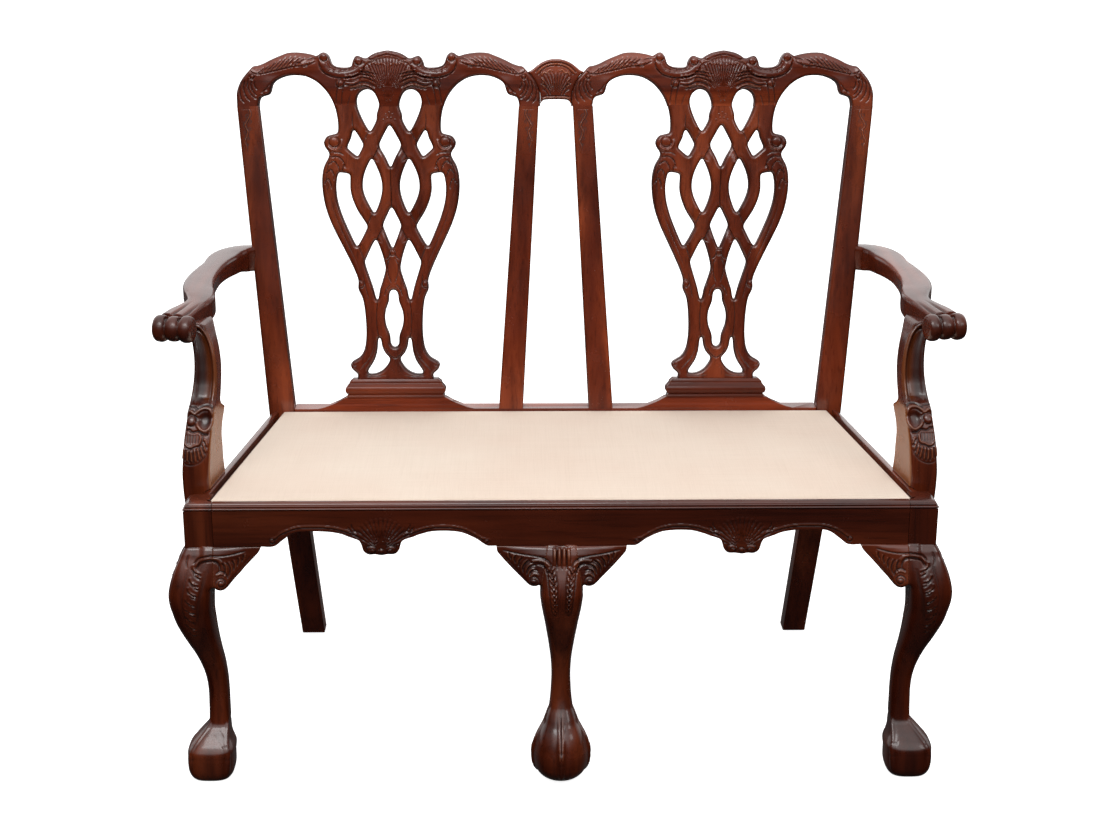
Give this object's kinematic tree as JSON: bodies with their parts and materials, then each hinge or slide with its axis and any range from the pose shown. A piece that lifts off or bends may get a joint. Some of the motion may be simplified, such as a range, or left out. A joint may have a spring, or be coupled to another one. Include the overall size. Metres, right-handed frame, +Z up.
{
  "type": "settee",
  "caption": "Double-chair-back settee with pierced splats, scrolled arms, cabriole legs on claw-and-ball feet and a lift-out drop-in seat.",
  "frame": {"origin": "middle of the settee on the floor, under the centre of its bounding box", "axes": "+X along the settee's width to its right when seen from the front, +Y from the front to the back, +Z up"},
  "size_m": [1.2148, 0.6178, 1.04],
  "materials": {
    "polished_mahogany": "glossy french-polished mahogany",
    "polished_mahogany_dark": "glossy, darker mahogany",
    "plain_softwood": "unfinished",
    "calico_cover": "plain pale woven cotton",
    "stuffing": "felted cotton wadding",
    "webbing": "jute",
    "steel_screw": "dull"
  },
  "bodies": {
    "frame": {"rear_post_left": "polished_mahogany", "rear_post_right": "polished_mahogany", "inner_stile_left": "polished_mahogany", "inner_stile_right": "polished_mahogany", "crest_rail_left": "polished_mahogany", "crest_rail_right": "polished_mahogany", "splat_left": "polished_mahogany", "splat_right": "polished_mahogany", "splat_shoe_left": "polished_mahogany", "splat_shoe_right": "polished_mahogany", "side_seat_rail_left": "polished_mahogany", "side_seat_rail_right": "polished_mahogany", "front_leg_left": "polished_mahogany_dark", "front_leg_right": "polished_mahogany_dark", "centre_knee_bracket_left": "polished_mahogany_dark", "centre_knee_bracket_right": "polished_mahogany_dark", "front_knee_bracket_left": "polished_mahogany_dark", "front_knee_bracket_right": "polished_mahogany_dark", "side_knee_bracket_left": "polished_mahogany_dark", "side_knee_bracket_right": "polished_mahogany_dark", "arm_left": "polished_mahogany", "arm_right": "polished_mahogany", "arm_support_left": "polished_mahogany", "arm_support_right": "polished_mahogany", "crest_link": "polished_mahogany", "rear_seat_rail": "polished_mahogany", "front_seat_rail": "polished_mahogany", "front_leg_centre": "polished_mahogany_dark", "front_corner_block_left": "plain_softwood", "front_corner_block_right": "plain_softwood", "rear_corner_block_left": "plain_softwood", "rear_corner_block_right": "plain_softwood", "centre_brace": "plain_softwood", "support_screw_1_left": "steel_screw", "support_screw_1_right": "steel_screw", "support_screw_2_left": "steel_screw", "support_screw_2_right": "steel_screw"},
    "seat": {"seat_frame_front": "plain_softwood", "seat_frame_rear": "plain_softwood", "seat_frame_side_left": "plain_softwood", "seat_frame_side_right": "plain_softwood", "seat_frame_cross": "plain_softwood", "seat_webbing": "webbing", "seat_pad": "stuffing", "seat_cover": "calico_cover"}
  },
  "joints": [
    {"name": "seat_lift", "type": "slide", "parent": "frame", "child": "seat", "axis": [0, 0, 1], "range_m": [0, 0.15]}
  ]
}
